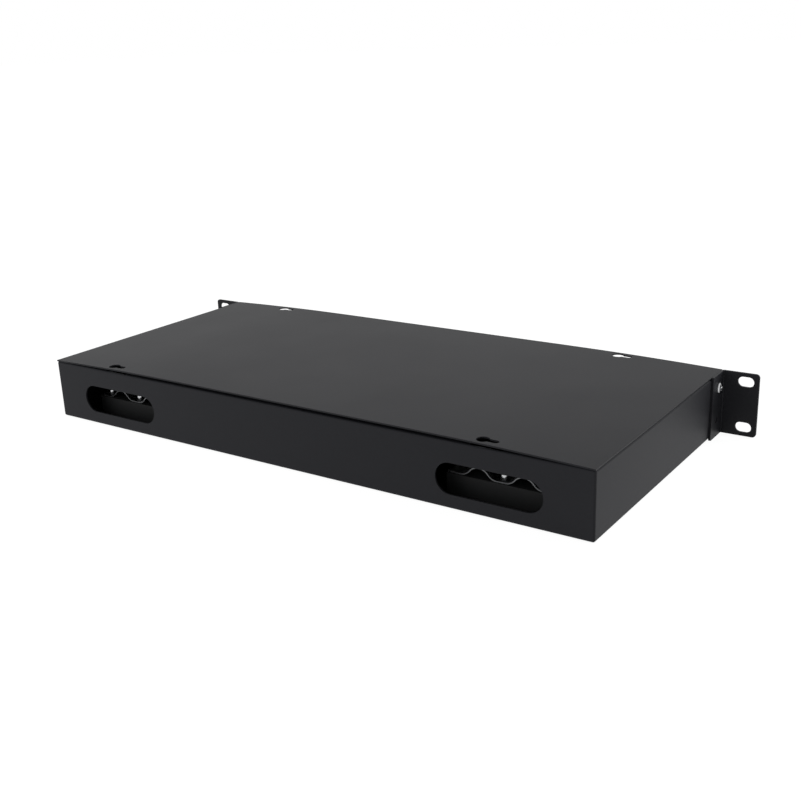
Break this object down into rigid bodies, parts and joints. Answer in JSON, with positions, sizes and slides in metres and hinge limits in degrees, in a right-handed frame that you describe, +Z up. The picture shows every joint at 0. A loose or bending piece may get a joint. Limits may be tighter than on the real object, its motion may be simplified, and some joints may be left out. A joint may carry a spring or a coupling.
{
  "type": "fibre termination box",
  "caption": "Low black sheet-steel rack box for terminating fibre cables: ports in an open front bay, rear cable entries with wavy clamps, crowned slide-off cover and rack ears.",
  "frame": {"origin": "middle of the four ear slots, on the rear faces of the ears, which bear on the rack rails", "axes": "+X along the width, to the right as seen from the ports; +Y towards the cable entries; +Z up"},
  "size_m": [0.4826, 0.2, 0.046],
  "materials": {
    "black_coat": "satin black powder coat",
    "bright_zinc": "bright zinc plate",
    "dull_zinc": "dull zinc plate",
    "dark_steel": "dark oxide",
    "adapter_plastic": "moulded, fine matt",
    "cap_plastic": "soft milky plastic",
    "black_plastic": "moulded, matt",
    "holder_plastic": "moulded, matt"
  },
  "bodies": {
    "case": {"base_tray": "black_coat", "rear_wall": "black_coat", "left_ear": "black_coat", "right_ear": "black_coat", "port_panel": "black_coat", "ear_screws": "bright_zinc", "ear_nuts": "bright_zinc", "panel_studs": "bright_zinc", "panel_washers": "bright_zinc", "panel_nuts": "bright_zinc", "adapter_clips": "bright_zinc", "tray_stud": "bright_zinc", "tray_wing_nut": "bright_zinc", "strength_posts": "bright_zinc", "strength_washers": "bright_zinc", "strength_nuts": "bright_zinc", "adapter_01": "adapter_plastic", "adapter_02": "adapter_plastic", "adapter_03": "adapter_plastic", "adapter_04": "adapter_plastic", "adapter_05": "adapter_plastic", "adapter_06": "adapter_plastic", "adapter_07": "adapter_plastic", "adapter_08": "adapter_plastic", "adapter_09": "adapter_plastic", "adapter_10": "adapter_plastic", "adapter_11": "adapter_plastic", "adapter_12": "adapter_plastic", "adapter_13": "adapter_plastic", "adapter_14": "adapter_plastic", "adapter_15": "adapter_plastic", "adapter_16": "adapter_plastic", "adapter_17": "adapter_plastic", "adapter_18": "adapter_plastic", "adapter_19": "adapter_plastic", "adapter_20": "adapter_plastic", "adapter_21": "adapter_plastic", "adapter_22": "adapter_plastic", "adapter_23": "adapter_plastic", "adapter_24": "adapter_plastic", "front_dust_caps": "cap_plastic", "rear_dust_caps": "cap_plastic", "left_clamp_block": "black_plastic", "right_clamp_block": "black_plastic", "splice_tray": "black_plastic", "splice_tray_lid": "black_plastic", "fibre_clip_1": "black_plastic", "fibre_clip_2": "black_plastic", "fibre_clip_3": "black_plastic", "fibre_clip_4": "black_plastic", "splice_holders": "holder_plastic"},
    "cover": {"top_cover": "black_coat"},
    "left_clamp": {"left_clamp_strip": "dull_zinc", "left_clamp_washers": "dark_steel", "left_clamp_screws": "bright_zinc"},
    "right_clamp": {"right_clamp_strip": "dull_zinc", "right_clamp_washers": "dark_steel", "right_clamp_screws": "bright_zinc"}
  },
  "joints": [
    {"name": "cover_slide", "type": "slide", "parent": "case", "child": "cover", "axis": [0, -1, 0], "range_m": [0, 0.2]},
    {"name": "left_clamp_lift", "type": "slide", "parent": "case", "child": "left_clamp", "axis": [0, 0, 1], "range_m": [0, 0.008]},
    {"name": "right_clamp_lift", "type": "slide", "parent": "case", "child": "right_clamp", "axis": [0, 0, 1], "range_m": [0, 0.008]}
  ]
}
